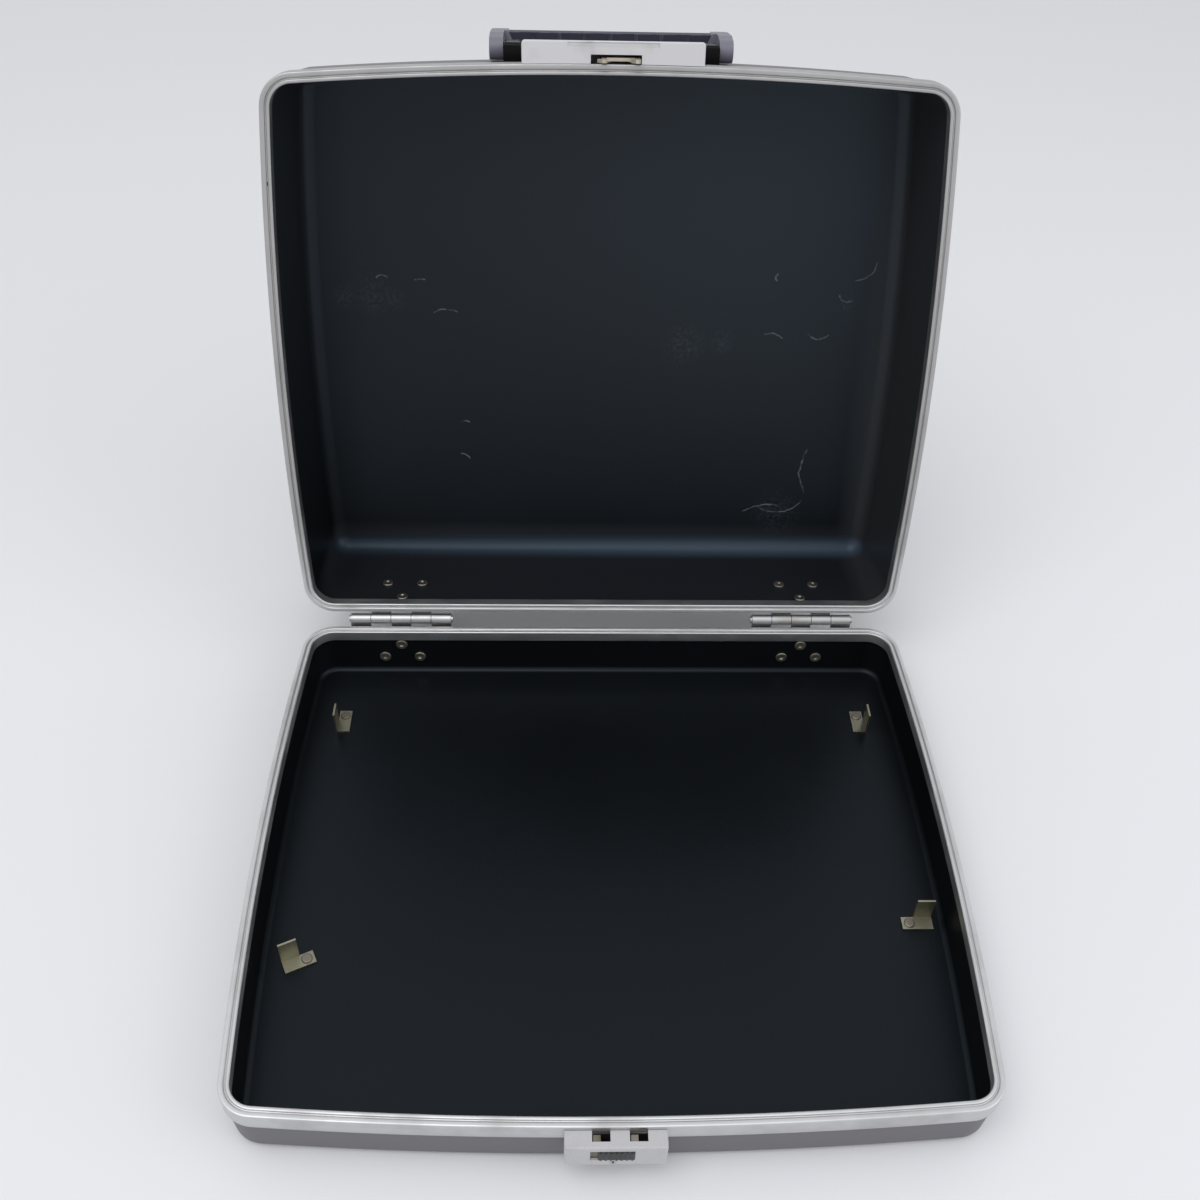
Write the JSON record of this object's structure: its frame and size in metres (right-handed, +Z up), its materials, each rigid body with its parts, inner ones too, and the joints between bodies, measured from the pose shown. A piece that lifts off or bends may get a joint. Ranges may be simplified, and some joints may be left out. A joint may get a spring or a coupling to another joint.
{
  "type": "hard carrying case",
  "caption": "Hard moulded carrying case, open: shallow clipped base tray, deep hinged lid, metal rims, sprung slide latch, key lock and folding handle.",
  "frame": {"origin": "on the table under the middle of the base tray: half way across, and half way between the rim's back edge and the middle of its front edge", "axes": "+X to the right seen from the front, +Y back to the hinges, +Z up; the front with the latch faces -Y"},
  "size_m": [0.41, 0.5299, 0.3959],
  "materials": {
    "shell": "moulded, fine satin grain",
    "liner": "vacuum formed, blue-black, softly glossy",
    "rim": "extruded, brushed, lightly scuffed",
    "rivet": "plated, dulled",
    "dark_steel": "dark oxidised",
    "hinge": "pressed, plated",
    "clip": "spring steel, plated with an olive tint",
    "latch_paint": "light silver-grey enamel on a die casting",
    "button": "ribbed, dark grey",
    "lock": "worn chrome",
    "hasp": "nickelled brass, worn through",
    "black": "moulded, black",
    "handle": "moulded, lavender grey",
    "grip": "ribbed strip, navy"
  },
  "bodies": {
    "base": {"base_shell": "shell", "base_liner": "liner", "base_rim": "rim", "base_hinge_rivets": "rivet", "clip_rivets": "rivet", "front_left_clip": "clip", "front_right_clip": "clip", "rear_left_clip": "clip", "rear_right_clip": "clip", "left_hinge_base_leaf": "hinge", "right_hinge_base_leaf": "hinge", "latch_housing": "latch_paint", "latch_backplate": "dark_steel", "latch_rivets": "rivet", "latch_spring": "dark_steel"},
    "lid": {"lid_shell": "shell", "lid_liner": "liner", "lid_rim": "rim", "lid_rim_plug": "dark_steel", "left_hinge_lid_leaf": "hinge", "right_hinge_lid_leaf": "hinge", "left_hinge_pin": "hinge", "right_hinge_pin": "hinge", "lid_hinge_rivets": "rivet", "lid_plate": "latch_paint", "lid_hasp": "hasp", "lid_plate_rivets": "rivet", "hasp_rivets": "rivet", "handle_base": "black", "handle_rivets": "rivet"},
    "handle": {"handle_frame": "handle", "handle_grip": "grip", "handle_pins": "lock"},
    "latch": {"latch_slide": "rivet", "latch_button": "button"},
    "lock": {"lock_plug": "lock"}
  },
  "joints": [
    {"name": "lid_hinge", "type": "hinge", "parent": "base", "child": "lid", "pos_m": [0, 0.1798, 0.0425], "axis": [1, 0, 0], "range_deg": [0, 105]},
    {"name": "handle_fold", "type": "hinge", "parent": "lid", "child": "handle", "pos_m": [0, 0.31142, 0.37724], "axis": [1, 0, 0], "range_deg": [0, 90]},
    {"name": "latch_release", "type": "slide", "parent": "base", "child": "latch", "axis": [-1, 0, 0], "range_m": [0, 0.0038], "stiffness_N_per_m": 250, "springref_m": -0.002, "deforming": ["latch_spring"]},
    {"name": "lock_turn", "type": "hinge", "parent": "base", "child": "lock", "pos_m": [-0.0013, -0.1832, 0.0229], "axis": [0, 1, 0], "range_deg": [0, 90]}
  ]
}
